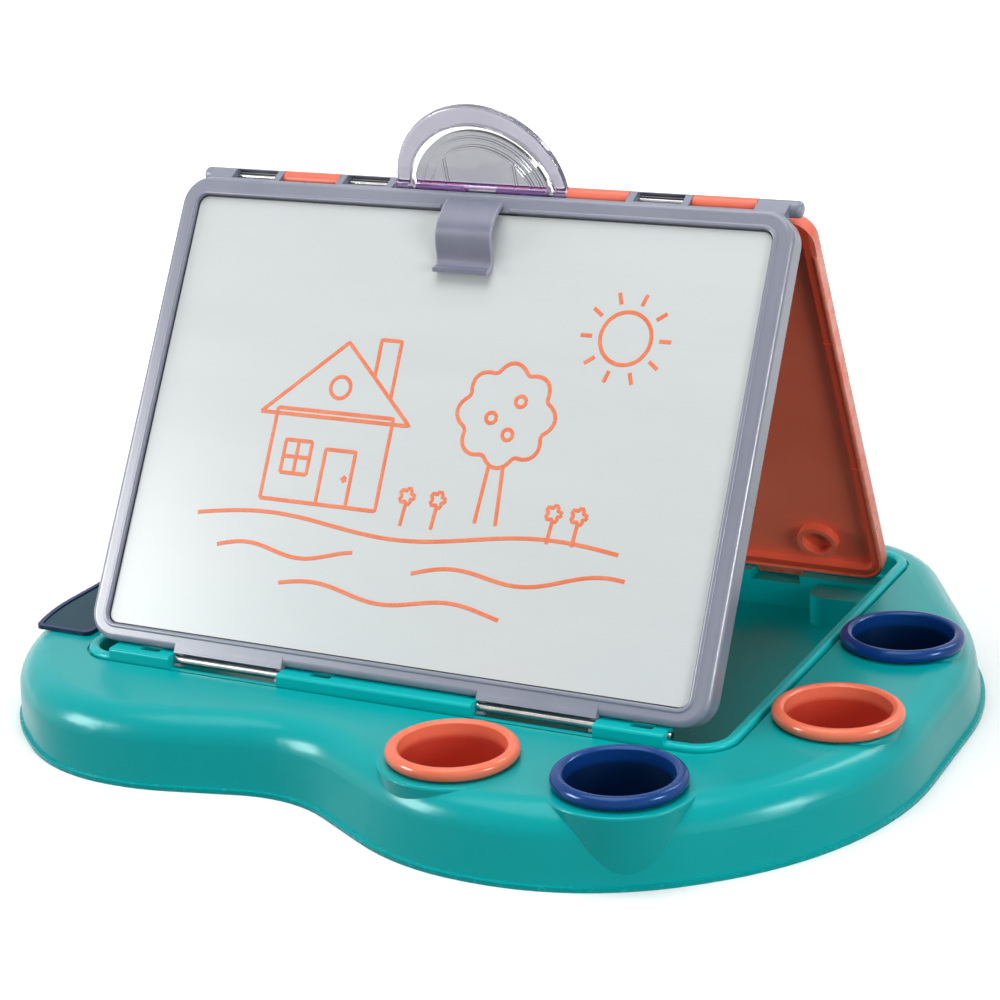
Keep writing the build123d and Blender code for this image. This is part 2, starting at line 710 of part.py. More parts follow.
arch = half_disc(HANDLE_OUTER, 0, -HANDLE_THICK / 2, HANDLE_THICK / 2)
arch -= half_disc(HANDLE_INNER, HANDLE_DROP, -HANDLE_THICK, HANDLE_THICK)
arch = fillet(arch.edges().filter_by(GeomType.CIRCLE), HANDLE_ROUND)
eye_inner = math.sqrt(HANDLE_INNER**2 - HANDLE_DROP**2)
for left, right in ((-HANDLE_OUTER, -eye_inner), (eye_inner, HANDLE_OUTER)):
    arch += round_bar(BARREL, left, right, 0, 0)
arch -= round_bar(ROD + ROD_FIT, -HANDLE_OUTER, HANDLE_OUTER, 0, 0)
save(GRIP * arch, "carry_handle")


# Handle flap: clear half disc inside the arch, with moulded lines and its own barrel

flap_radius = HANDLE_INNER - FLAP_GAP
raised = FLAP_THICK / 2 + FLAP_LINE / 2
flap = half_disc(flap_radius, HANDLE_DROP, -FLAP_THICK / 2, FLAP_THICK / 2)
for radius in FLAP_ARCS:
    line = half_disc(radius, HANDLE_DROP, -raised, raised)
    flap += line - half_disc(radius - FLAP_LINE, HANDLE_DROP, -raised, raised)
for x in (-FLAP_LINE_X, FLAP_LINE_X):
    line = block(x - FLAP_LINE / 2, x + FLAP_LINE / 2, 0, flap_radius, -raised, raised)
    flap += line & half_disc(FLAP_ARCS[-1], HANDLE_DROP, -raised, raised)
flap &= block(-FLAP_HALF, FLAP_HALF, 0, HANDLE_OUTER, -raised, raised)
flap += round_bar(BARREL, -FLAP_HALF, FLAP_HALF, 0, 0)
flap -= block(-FLAP_NOTCH, FLAP_NOTCH, -BARREL, 2 * ROD, 0, BARREL)
flap -= round_bar(ROD + ROD_FIT, -HANDLE_OUTER, HANDLE_OUTER, 0, 0)
save(GRIP * flap, "handle_flap")


# Pencil cups: tapered cup hanging by a thick round bead

bead_z = TOP_Z + LIFT_GAP + CUP_BEAD
cup_height = bead_z - CUP_FOOT_Z
cup = Pos(0, 0, CUP_FOOT_Z + cup_height / 2) * Cone(CUP_FOOT, CUP_TOP, cup_height)
cup += Pos(0, 0, bead_z) * Torus(CUP_RIM - CUP_BEAD, CUP_BEAD)
room = cup_height + CUP_BEAD - CUP_WALL
cup -= Pos(0, 0, CUP_FOOT_Z + CUP_WALL + room / 2) * Cone(CUP_FOOT - CUP_WALL, CUP_TOP - CUP_WALL, room)
for node, (x, y, collar_top) in CUPS.items():
    save(Pos(x, y, 0) * cup, node)
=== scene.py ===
import json
import math

import bpy
from mathutils import Matrix, Vector


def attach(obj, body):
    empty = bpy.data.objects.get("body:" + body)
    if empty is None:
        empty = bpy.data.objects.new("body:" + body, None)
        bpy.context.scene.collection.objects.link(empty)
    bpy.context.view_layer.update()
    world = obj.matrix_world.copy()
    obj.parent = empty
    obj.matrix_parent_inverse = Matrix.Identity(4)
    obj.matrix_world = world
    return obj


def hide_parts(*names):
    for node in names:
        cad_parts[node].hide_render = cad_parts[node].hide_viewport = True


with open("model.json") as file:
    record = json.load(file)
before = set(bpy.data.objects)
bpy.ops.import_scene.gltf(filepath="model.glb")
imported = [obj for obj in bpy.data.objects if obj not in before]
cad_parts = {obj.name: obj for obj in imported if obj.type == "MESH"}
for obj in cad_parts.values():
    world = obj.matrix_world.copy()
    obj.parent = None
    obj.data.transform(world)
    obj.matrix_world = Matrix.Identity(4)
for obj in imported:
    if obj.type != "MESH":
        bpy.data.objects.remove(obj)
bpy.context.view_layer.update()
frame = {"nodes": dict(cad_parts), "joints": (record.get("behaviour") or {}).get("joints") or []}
nodes = frame["nodes"]

# Base: one large shell, injection moulded in glossy teal plastic and open underneath. It stands on
# a thin lip, which picks up scuffs, and the melt leaves faint streaks in the colour of its top.

TEAL = (0.0, 0.358, 0.366, 1)
TEAL_STREAK = (0.0, 0.335, 0.343, 1)
TEAL_SCUFF = (0.02, 0.45, 0.44, 1)
LIP_TOP = 0.0024


class Field:
    """A value over a surface or along a shape: one output socket of a node tree."""

    def __init__(self, tree, socket):
        self.tree = tree
        self.socket = socket

    def make(self, kind, settings, sockets, output=0):
        """Adds a node of a type: its settings first, then the values or links of its sockets."""
        node = self.tree.nodes.new(kind)
        for name, value in settings.items():
            setattr(node, name, value)
        for key, value in sockets.items():
            if isinstance(value, Field):
                self.tree.links.new(value.socket, node.inputs[key])
            elif isinstance(value, list):
                for field in value:
                    self.tree.links.new(field.socket, node.inputs[key])
            else:
                node.inputs[key].default_value = value
        return Field(self.tree, node.outputs[output])

    def sum(self, operation, first, second):
        return self.make("ShaderNodeMath", {"operation": operation}, {0: first, 1: second})

    def __add__(self, other):
        return self.sum("ADD", self, other)

    __radd__ = __add__

    def __sub__(self, other):
        return self.sum("SUBTRACT", self, other)

    def __rsub__(self, other):
        return self.sum("SUBTRACT", other, self)

    def __mul__(self, other):
        return self.sum("MULTIPLY", self, other)

    __rmul__ = __mul__

    def __abs__(self):
        return self.make("ShaderNodeMath", {"operation": "ABSOLUTE"}, {0: self})

    def least(self, other):
        return self.sum("MINIMUM", self, other)

    def most(self, other):
        return self.sum("MAXIMUM", self, other)

    def between(self, low, high):
        """0 below low, 1 above high, smooth in between."""
        ends = {"Value": self, "From Min": low, "From Max": high}
        return self.make("ShaderNodeMapRange", {"interpolation_type": "SMOOTHSTEP"}, ends)

    def noise(self, scale, detail=3.0, rough=0.5):
        sockets = {"Vector": self, "Scale": scale, "Detail": detail, "Roughness": rough}
        return self.make("ShaderNodeTexNoise", {}, sockets)

    def spread(self, x, y, z):
        """The same place with each axis on its own scale."""
        return self.make("ShaderNodeMapping", {}, {"Vector": self, "Scale": (x, y, z)})

    def seen_from(self, origin, turn):
        """The same place in a frame at an origin, turned about X."""
        sockets = {"Vector": self, "Location": origin, "Rotation": (turn, 0, 0)}
        return self.make("ShaderNodeMapping", {"vector_type": "TEXTURE"}, sockets)

    def along(self, letter):
        return self.make("ShaderNodeSeparateXYZ", {}, {"Vector": self}, letter)

    def tint(self, first, second):
        """Colour between two colours, by this value."""
        return self.make("ShaderNodeMix", {"data_type": "RGBA"}, {0: self, 6: first, 7: second}, 2)


def new_finish(name):
    """An empty material: its surface shader, and the object coordinates that its patterns read."""
    finish = bpy.data.materials.new(name)
    finish.use_nodes = True
    tree = finish.node_tree
    shader = tree.nodes["Principled BSDF"]
    place = Field(tree, tree.nodes.new("ShaderNodeTexCoord").outputs["Object"])
    return finish, shader, place


def settle(shader, colour, rough, relief, depth):
    """Links a finish's colour and roughness, and a relief of some depth in metres."""
    dent = relief.make("ShaderNodeBump", {}, {"Height": relief, "Strength": 1.0, "Distance": depth})
    for name, field in (("Base Color", colour), ("Roughness", rough), ("Normal", dent)):
        field.tree.links.new(field.socket, shader.inputs[name])


def dress(node, finish):
    """Gives a solid its finish."""
    nodes[node].data.materials.clear()
    nodes[node].data.materials.append(finish)


def glossy_teal(name, light, streak):
    """Glossy plastic with a faint orange-peel skin, hairline scratches and smears from hands."""
    finish, shader, place = new_finish(name)
    shader.inputs["Specular IOR Level"].default_value = 0.2
    shader.inputs["Specular Tint"].default_value = (0.6, 0.95, 0.95, 1)
    streaks = place.spread(4, 11, 7).noise(1, 4, 0.6)
    smears = place.noise(22, 5, 0.65)
    peel = place.noise(150, 2, 0.4)
    hairlines = place.spread(30, 1500, 400).noise(1, 2).between(0.64, 0.72)
    lip = 1 - place.along("Z").between(LIP_TOP * 0.6, LIP_TOP * 1.3)
    scuffs = lip * place.noise(320, 4, 0.7).between(0.5, 0.7) * 0.6
    colour = scuffs.tint(streaks.between(0.3, 0.7).tint(streak, light), TEAL_SCUFF)
    settle(shader, colour, 0.17 + smears * 0.12 + hairlines * 0.03 + scuffs * 0.25, peel, 1.2e-5)
    return finish


dress("base_shell", glossy_teal("base_teal", TEAL, TEAL_STREAK))

# Feet: six round pads of black moulded rubber, pressed on to posts under the base. They carry the
# fine matt skin of the tool and grey dust from the table.

RUBBER = (0.016, 0.016, 0.018, 1)
RUBBER_DUST = (0.075, 0.073, 0.07, 1)

rubber, shader, place = new_finish("foot_rubber")
dust = place.noise(260, 5, 0.7).between(0.45, 0.75)
grain = place.noise(2600, 2)
settle(shader, (dust * 0.6).tint(RUBBER, RUBBER_DUST), 0.62 + dust * 0.22 + grain * 0.1, grain, 6e-5)
dress("rubber_feet", rubber)

# Storage tray: a separate tub of the same glossy teal plastic, dropped into the base's opening with
# its rounded bead over the edge, coloured a paler teal than the base as painted light in its shade.
# The hinge bars for the front board's rod are moulded on its front.

# Painted light: both tray colours are paler than the base's teal, to lift the tray out of its shade.
TRAY_TEAL_LIGHTENED = (0.0, 0.45, 0.46, 1)
TRAY_STREAK_LIGHTENED = (0.0, 0.42, 0.43, 1)

dress("storage_tray", glossy_teal("tray_teal_lightened", TRAY_TEAL_LIGHTENED, TRAY_STREAK_LIGHTENED))

# Hinge rods and pins: lengths of drawn steel wire, pushed through their eyes. Drawing leaves fine
# bright lines along the wire.

STEEL = (0.55, 0.54, 0.53, 1)
STEEL_LINE = (0.3, 0.295, 0.29, 1)


def drawn_steel(name, x, y, z):
    """Drawn wire whose lines run along the axis that has the small scale."""
    finish, shader, place = new_finish(name)
    shader.inputs["Metallic"].default_value = 1.0
    lines = place.spread(x, y, z).noise(1, 3, 0.6)
    tarnish = place.noise(70, 4, 0.6)
    colour = (lines * 0.6 + tarnish * 0.4).between(0.3, 0.7).tint(STEEL_LINE, STEEL)
    settle(shader, colour, 0.1 + lines * 0.16 + tarnish * 0.08, lines, 1.5e-5)
    return finish


rod_steel = drawn_steel("rod_steel", 9, 3600, 3600)
pin_steel = drawn_steel("pin_steel", 3600, 9, 3600)
dress("front_hinge_rod", rod_steel)
dress("lid_hinge_pins", pin_steel)

# Bin lid: a thin plate of smoked see-through plastic over the side bin, with a raised border that
# looks violet where the plastic is thicker. It turns on two short steel pins.

SMOKE = (0.004, 0.066, 0.105, 1)
SMOKE_CLOUD = (0.003, 0.054, 0.09, 1)
SMOKE_EDGE = (0.07, 0.06, 0.19, 1)
LID_FACE_Z = 0.0389
BORDER_FOOT_Z, BORDER_TOP_Z = LID_FACE_Z + 0.0002, LID_FACE_Z + 0.0006

smoke, shader, place = new_finish("smoked_lid")
shader.inputs["Transmission Weight"].default_value = 0.3
shader.inputs["Specular IOR Level"].default_value = 0.012
shader.inputs["Specular Tint"].default_value = (0.4, 0.65, 0.8, 1)
clouds = place.spread(20, 6, 20).noise(1, 4, 0.6)
rubs = place.spread(900, 40, 300).noise(1, 3).between(0.6, 0.7)
edge = place.along("Z").between(BORDER_FOOT_Z, BORDER_TOP_Z)
colour = edge.tint(clouds.between(0.3, 0.7).tint(SMOKE_CLOUD, SMOKE), SMOKE_EDGE)
settle(shader, colour, 0.09 + clouds * 0.1 + rubs * 0.08, clouds - rubs * 0.3, 2e-5)
dress("side_bin_lid", smoke)

# Pencil cups: four lift-out cups with a thick rolled rim, two in coral and two in navy plastic.
# The rim is polished by hands and glossier. The wall below it keeps the duller look of the tool, and
# its colour is much darker than the rim's as painted shade.

CORAL_RIM = (0.84, 0.19, 0.105, 1)
CORAL_WALL_SHADE = (0.56, 0.055, 0.03, 1)
NAVY_RIM = (0.004, 0.042, 0.2, 1)
NAVY_WALL_SHADE = (0.001, 0.014, 0.06, 1)
CORAL_SHEEN = (1, 0.8, 0.72, 1)
NAVY_SHEEN = (0.4, 0.65, 1, 1)
CUP_SHOULDER_Z = 0.0385
DULL_BELOW_Z, SHINY_ABOVE_Z = CUP_SHOULDER_Z - 0.004, CUP_SHOULDER_Z + 0.001


def cup_plastic(name, rim_colour, shaded_wall_colour, sheen):
    """Plastic glossier on the rim and painted darker below it as shade, with a tint in its sheen."""
    finish, shader, place = new_finish(name)
    shader.inputs["Specular IOR Level"].default_value = 0.32
    shader.inputs["Specular Tint"].default_value = sheen
    rim = place.along("Z").between(DULL_BELOW_Z, SHINY_ABOVE_Z)
    clouds = place.noise(38, 4, 0.6)
    grain = place.noise(1500, 2)
    nicks = rim * place.noise(420, 3, 0.7).between(0.66, 0.74)
    # Painted shade: the colour falls from the rim's to the much darker wall colour below the rim.
    out_of_shade = (rim * 0.85 + (clouds - 0.5) * 0.35).between(0, 1)
    gloss = 0.3 - rim * 0.12 + (clouds - 0.5) * 0.12 + nicks * 0.15
    settle(shader, out_of_shade.tint(shaded_wall_colour, rim_colour), gloss, grain * 0.5 + clouds - nicks, 2.5e-5)
    return finish


coral_cup = cup_plastic("coral_cup", CORAL_RIM, CORAL_WALL_SHADE, CORAL_SHEEN)
navy_cup = cup_plastic("navy_cup", NAVY_RIM, NAVY_WALL_SHADE, NAVY_SHEEN)
dress("cup_front_left", coral_cup)
dress("cup_front_right", navy_cup)
dress("cup_side_front", coral_cup)
dress("cup_side_rear", navy_cup)

# Front board: a rounded frame of satin lavender-grey plastic with two rod tabs at its foot and hinge
# knuckles at its top, closed behind by a flat cover of the same plastic.

LAVENDER = (0.232, 0.247, 0.314, 1)
LAVENDER_CLOUD = (0.212, 0.227, 0.29, 1)
LAVENDER_RUB = (0.4, 0.4, 0.47, 1)
FRAME_HALF, FRAME_BOTTOM, FRAME_TOP = 0.180, 0.0048, 0.2685
RUB_OUTER, RUB_PEAK, RUB_INNER = 0.0003, 0.001, 0.0026
BOARD_TILT = 60
PLASTIC_IOR = 1.47

hinges = {joint["name"]: Vector(joint["pos_m"]) for joint in frame["joints"] if joint.get("pos_m")}
board_at = hinges["front_board_fold"]
board_turn = math.radians(BOARD_TILT)


def satin_plastic(name, light, cloud, rub):
    """Satin plastic with a fine spark-eroded grain, rubbed paler along the board's outer edges."""
    finish, shader, place = new_finish(name)
    shader.inputs["IOR"].default_value = PLASTIC_IOR
    board = place.seen_from(board_at, board_turn)
    across = FRAME_HALF - abs(board.along("X"))
    up = board.along("Y")
    inward = across.least(up - FRAME_BOTTOM).least(FRAME_TOP - up)
    edge = inward.between(RUB_OUTER, RUB_PEAK) * (1 - inward.between(RUB_PEAK, RUB_INNER))
    rubbed = edge * place.noise(60, 3, 0.6).between(0.35, 0.65)
    clouds = place.noise(16, 5, 0.6)
    grain = place.noise(2300, 2)
    colour = (rubbed * 0.4).tint(clouds.between(0.3, 0.7).tint(cloud, light), rub)
    settle(shader, colour, 0.26 + (clouds - 0.5) * 0.12 + grain * 0.08 - rubbed * 0.08, grain, 2e-5)
    return finish


lavender = satin_plastic("lavender_satin", LAVENDER, LAVENDER_CLOUD, LAVENDER_RUB)
dress("front_frame", lavender)
dress("front_back_cover", lavender)

# Drawing panel: a smooth white dry-wipe sheet laid on a ledge inside the frame. Wiping leaves faint
# sideways smears and a trace of old ink.

PANEL = (0.635, 0.67, 0.672, 1)
PANEL_SMEAR = (0.615, 0.65, 0.654, 1)
PANEL_GHOST = (0.635, 0.63, 0.617, 1)

dry_wipe, shader, place = new_finish("dry_wipe_white")
shader.inputs["Specular IOR Level"].default_value = 0.25
board = place.seen_from(board_at, board_turn)
smears = board.spread(5, 24, 1).noise(1, 5, 0.6)
ghost = board.spread(9, 16, 1).noise(1, 3).between(0.6, 0.8)
marks = board.spread(60, 900, 1).noise(1, 2).between(0.66, 0.72)
colour = (ghost * 0.15).tint(smears.between(0.3, 0.7).tint(PANEL_SMEAR, PANEL), PANEL_GHOST)
settle(shader, colour, 0.22 + smears * 0.06 + marks * 0.02, smears, 4e-6)
dress("whiteboard_panel", dry_wipe)

# Panel gap shadow: a thin near-black strip laid in the gap between the panel and the frame, as painted
# shadow where the gap is in shade. It runs all the way round and shows as a dark line.

GAP_SHADOW_BLACK = (0.012, 0.012, 0.014, 1)
GAP_SHADOW_GREY = (0.04, 0.04, 0.043, 1)
OPENING_HALF, OPENING_FOOT, OPENING_HEAD = 0.1695, 0.0137, 0.2577
OPENING_CORNER = 0.006
GAP_SHADOW_INSET = 0.00035
GAP_SHADOW_LEVEL = 0.00195

# Painted shadow: a near-black finish with a faint mottle, for the shade in the gap.
gap_shadow_finish, shader, place = new_finish("painted_gap_shadow")
gap_mottle = place.noise(2400, 3, 0.7)
settle(shader, gap_mottle.between(0.4, 0.7).tint(GAP_SHADOW_BLACK, GAP_SHADOW_GREY), 0.7 + gap_mottle * 0.2, gap_mottle, 4e-5)


def new_maker(name, sizes):
    """An empty Geometry Nodes tree with a named input for each size: the tree and its input fields."""
    tree = bpy.data.node_groups.new(name, "GeometryNodeTree")
    tree.interface.new_socket("Geometry", in_out="INPUT", socket_type="NodeSocketGeometry")
    tree.interface.new_socket("Geometry", in_out="OUTPUT", socket_type="NodeSocketGeometry")
    for size in sizes:
        tree.interface.new_socket(size, in_out="INPUT", socket_type="NodeSocketFloat")
    start = tree.nodes.new("NodeGroupInput")
    fields = {size: Field(tree, start.outputs[size]) for size in sizes}
    fields["Geometry"] = Field(tree, start.outputs["Geometry"])
    return tree, fields


def turned_out(shape, origin, turn, finish):
    """Ends a tree: puts the shape on its board, makes it plain geometry and gives it its finish."""
    sockets = {"Geometry": shape, "Translation": origin, "Rotation": (turn, 0, 0)}
    shape = shape.make("GeometryNodeTransform", {}, sockets)
    shape = shape.make("GeometryNodeRealizeInstances", {}, {"Geometry": shape})
    shape = shape.make("GeometryNodeSetMaterial", {}, {"Geometry": shape, "Material": finish})
    out = shape.tree.nodes.new("NodeGroupOutput")
    shape.tree.links.new(shape.socket, out.inputs["Geometry"])


def made_piece(name, points, edges, tree, sizes):
    """Runs a tree over points and edges, and keeps what it makes as a plain mesh."""
    seeds = bpy.data.meshes.new(name + "_seeds")
    seeds.from_pydata(points, edges, [])
    holder = bpy.data.objects.new(name + "_holder", seeds)
    bpy.context.scene.collection.objects.link(holder)
    modifier = holder.modifiers.new("maker", "NODES")
    modifier.node_group = tree
    for item in tree.interface.items_tree:
        if item.in_out == "INPUT" and item.name in sizes:
            modifier[item.identifier] = sizes[item.name]
    evaluated = holder.evaluated_get(bpy.context.evaluated_depsgraph_get())
    piece = bpy.data.objects.new(name, bpy.data.meshes.new_from_object(evaluated))
    bpy.data.objects.remove(holder)
    bpy.context.scene.collection.objects.link(piece)
    return piece


def oval_run(path, width, height, sides):
    """A smooth bar of flat oval section along a path, closed at its ends."""
    section = path.make("GeometryNodeCurvePrimitiveCircle", {}, {"Resolution": sides, "Radius": 0.5})
    flat = section.make("ShaderNodeCombineXYZ", {}, {"X": width, "Y": height, "Z": 1.0})
    section = section.make("GeometryNodeTransform", {}, {"Geometry": section, "Scale": flat})
    bar = {"Curve": path, "Profile Curve": section, "Fill Caps": True}
    bar = path.make("GeometryNodeCurveToMesh", {}, bar)
    return bar.make("GeometryNodeSetShadeSmooth", {}, {"Geometry": bar})


def swept_strip(name, origin, turn, finish):
    """A tree that runs a flat oval strip along a path on a board, with its corners rounded."""
    tree, given = new_maker(name, ("Strip width", "Strip height", "Corner radius"))
    path = given["Geometry"].make("GeometryNodeMeshToCurve", {}, {"Mesh": given["Geometry"]})
    corners = {"Curve": path, "Count": 10, "Radius": given["Corner radius"], "Limit Radius": True}
    path = path.make("GeometryNodeFilletCurve", {"mode": "POLY"}, corners)
    strip = oval_run(path, given["Strip width"], given["Strip height"], 16)
    turned_out(strip, origin, turn, finish)
    return tree


def linked(points):
    """Edges that join points in a row."""
    return [(i, i + 1) for i in range(len(points) - 1)]


def round_opening(outset, level):
    """Corners of a path round the frame's opening, set out from its edge, from the foot at the left."""
    half, foot, head = OPENING_HALF + outset, OPENING_FOOT - outset, OPENING_HEAD + outset
    return [(-half, foot, level), (half, foot, level), (half, head, level), (-half, head, level)]


# Painted shadow: the dark strip stands in for the shade in the gap round the panel.
gap_shadow_points = round_opening(-GAP_SHADOW_INSET, GAP_SHADOW_LEVEL)
gap_shadow_edges = linked(gap_shadow_points) + [(3, 0)]
gap_shadow_sizes = {"Strip width": 0.0012, "Strip height": 0.0004, "Corner radius": 0.0056}
tree = swept_strip("gap_shadow_strip", board_at, board_turn, gap_shadow_finish)
panel_seal = made_piece("panel_seal", gap_shadow_points, gap_shadow_edges, tree, gap_shadow_sizes)
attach(panel_seal, "front_board")

# Opening bead: a small round bead moulded on the frame along the edge of its opening, in the same
# lavender plastic. It stops on either side of the paper clip.

EDGE_WIDTH, EDGE_HEIGHT = 0.0024, 0.0014
EDGE_OUTSET = EDGE_WIDTH / 2
EDGE_LEVEL = 0.004
CLIP_HALF = 0.0162
CLIP_X = 0.002
CLIP_CLEAR = 0.004

left_foot, right_foot, right_head, left_head = round_opening(EDGE_OUTSET, EDGE_LEVEL)
by_clip = CLIP_HALF + CLIP_CLEAR
right_stop = (CLIP_X + by_clip, *right_head[1:])
left_stop = (CLIP_X - by_clip, *left_head[1:])
edge_points = [right_stop, right_head, right_foot, left_foot, left_head, left_stop]
edge_sizes = {
    "Strip width": EDGE_WIDTH,
    "Strip height": EDGE_HEIGHT,
    "Corner radius": OPENING_CORNER + EDGE_OUTSET,
}
tree = swept_strip("opening_bead", board_at, board_turn, lavender)
opening_bead = made_piece("opening_bead", edge_points, linked(edge_points), tree, edge_sizes)
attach(opening_bead, "front_board")

# Marker drawing: a simple house, tree and sun in orange marker ink on the panel. Each stroke is a
# thin film of ink about two millimetres wide that swells and narrows with the hand.

INK = (0.8, 0.19, 0.08, 1)
INK_THIN = (0.82, 0.25, 0.12, 1)
INK_LEVEL = 0.002
SUN_X, SUN_Y, SUN_RADIUS, SUN_RAYS = 100, 196, 14, 10


def ring(x, y, radius, count, waves=0, swing=0.0):
    """Closed stroke round a point, in millimetres on the panel, with a scalloped edge if asked."""
    turns = [2 * math.pi * i / count for i in range(count + 1)]
    reach = [radius + swing * abs(math.cos(waves * turn / 2)) for turn in turns]
    return [(x + r * math.cos(turn), y + r * math.sin(turn)) for turn, r in zip(turns, reach)]


def hill(left, right, low, rise, waves, lift):
    """Long ground line, in millimetres on the panel, swelling a few times and climbing a little."""
    steps = [i / 40 for i in range(41)]
    return [
        (left + (right - left) * s, low + lift * s + rise * math.sin(2 * math.pi * waves * s))
        for s in steps
    ]


strokes = [
    [(-92, 92), (-92, 142), (-22, 142), (-22, 92), (-92, 92)],
    [(-102, 139), (-57, 181), (-12, 139), (-102, 139)],
    [(-38, 164), (-38, 184), (-26, 184), (-26, 153)],
    [(-40, 92), (-40, 122), (-58, 122), (-58, 92)],
    [(-83, 107), (-83, 125), (-67, 125), (-67, 107), (-83, 107)],
    [(-75, 107), (-75, 125)],
    [(-83, 116), (-67, 116)],
    ring(-44, 107, 1.2, 12),
    ring(-57, 156, 6, 24),
    [(36, 92), (38, 124)],
    [(48, 92), (46, 124)],
    ring(42, 150, 23, 72, 8, 5),
    ring(34, 148, 3, 14),
    ring(49, 158, 3, 14),
    ring(45, 140, 3, 14),
    ring(SUN_X, SUN_Y, SUN_RADIUS, 40),
    hill(-128, 118, 80, 4, 1.5, 5),
    hill(-112, -30, 64, 3, 1.2, 2),
    hill(6, 124, 62, 3.5, 1.4, 8),
    hill(-70, 60, 48, 3, 1.6, -2),
]
for i in range(SUN_RAYS):
    turn = 2 * math.pi * i / SUN_RAYS
    strokes.append([(SUN_X + r * math.cos(turn), SUN_Y + r * math.sin(turn)) for r in (18.5, 25)])
for x in (-6, 12, 78, 92):
    strokes.append([(x, 86), (x + 1, 98)])
    strokes.append(ring(x + 1, 102, 2.6, 30, 5, 2))

ink, shader, place = new_finish("orange_ink")
shader.inputs["Specular IOR Level"].default_value = 0.2
board = place.seen_from(board_at, board_turn)
streaks = board.noise(500, 3, 0.6)
pools = board.noise(90, 3)
thin = (streaks * 0.5 + pools * 0.5).between(0.4, 0.64)
settle(shader, thin.tint(INK, INK_THIN), 0.34 + thin * 0.2, streaks, 1.5e-5)

tree, given = new_maker("ink_strokes", ("Line width", "Film thickness", "Step", "Swell"))
path = given["Geometry"].make("GeometryNodeMeshToCurve", {}, {"Mesh": given["Geometry"]})
steps = {"Curve": path, "Length": given["Step"]}
path = path.make("GeometryNodeResampleCurve", {"mode": "LENGTH"}, steps)
spot = path.make("GeometryNodeInputPosition", {}, {})
swell = 1 + (spot.noise(60, 2) - 0.5) * given["Swell"]
path = path.make("GeometryNodeSetCurveRadius", {}, {"Curve": path, "Radius": swell})
film = oval_run(path, given["Line width"], given["Film thickness"], 10)
turned_out(film, board_at, board_turn, ink)

ink_points, ink_edges = [], []
for stroke in strokes:
    first = len(ink_points)
    ink_points += [(x / 1000, y / 1000, INK_LEVEL) for x, y in stroke]
    ink_edges += [(first + i, first + j) for i, j in linked(stroke)]
ink_sizes = {"Line width": 0.0022, "Film thickness": 0.00016, "Step": 0.0015, "Swell": 0.35}
marker_lines = made_piece("marker_lines", ink_points, ink_edges, tree, ink_sizes)
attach(marker_lines, "front_board")

# Cover screws: six small cross-recess steel screws, sunk in the back cover and driven into bosses of
# the frame. Each stopped at its own angle.

SCREW_ROWS = (0.030, 0.132, 0.234)
SCREW_SIDE = 0.1747
COVER_BACK = -0.010

screw_steel = drawn_steel("screw_steel", 900, 900, 900)
sizes = ("Head radius", "Head height", "Recess width", "Recess depth", "Shank radius", "Shank length")
tree, given = new_maker("cross_screws", sizes)
start = given["Geometry"]
head = {"Vertices": 40, "Radius Top": given["Head radius"], "Depth": given["Head height"]}
under = given["Head radius"] * 0.9
head = start.make("GeometryNodeMeshCone", {}, {**head, "Radius Bottom": under})
span = given["Head radius"] * 1.25
bars = []
for x, y in ((span, given["Recess width"]), (given["Recess width"], span)):
    size = start.make("ShaderNodeCombineXYZ", {}, {"X": x, "Y": y, "Z": given["Recess depth"] * 2})
    bars.append(start.make("GeometryNodeMeshCube", {}, {"Size": size}))
cut = {"Mesh 1": head, "Mesh 2": bars}
head = head.make("GeometryNodeMeshBoolean", {"operation": "DIFFERENCE"}, cut)
shank = {"Vertices": 20, "Radius Bottom": given["Shank radius"], "Depth": given["Shank length"]}
tip = given["Shank radius"] * 0.5
shank = start.make("GeometryNodeMeshCone", {}, {**shank, "Radius Top": tip})
down = start.make("ShaderNodeCombineXYZ", {}, {"Z": given["Head height"]})
shank = shank.make("GeometryNodeTransform", {}, {"Geometry": shank, "Translation": down})
screw = head.make("GeometryNodeJoinGeometry", {}, {"Geometry": [head, shank]})
stop = {0: (0, 0, 0), 1: (0, 0, math.pi), "Seed": 4}
stop = start.make("FunctionNodeRandomValue", {"data_type": "FLOAT_VECTOR"}, stop)
set_out = {"Points": start, "Instance": screw, "Rotation": stop}
set_out = start.make("GeometryNodeInstanceOnPoints", {}, set_out)
turned_out(set_out, board_at, board_turn, screw_steel)

screw_spots = [(way * SCREW_SIDE, row, COVER_BACK) for way in (-1, 1) for row in SCREW_ROWS]
screw_sizes = {
    "Head radius": 0.0025,
    "Head height": 0.0013,
    "Recess width": 0.0007,
    "Recess depth": 0.0007,
    "Shank radius": 0.0014,
    "Shank length": 0.008,
}
cover_screws = made_piece("cover_screws", screw_spots, [], tree, screw_sizes)
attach(cover_screws, "front_board")
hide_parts("back_cover_screws")

# Paper clip: one strip of the same lavender plastic bent into a lazy S, its root in the frame's top
# bar and its lip lifted off the panel. The bend is rubbed by paper.

CLIP = (0.188, 0.197, 0.27, 1)
CLIP_CLOUD = (0.17, 0.179, 0.247, 1)
CLIP_RUB = (0.42, 0.42, 0.5, 1)
CLIP_RUB_START, CLIP_RUB_END = 0.0001, 0.0011

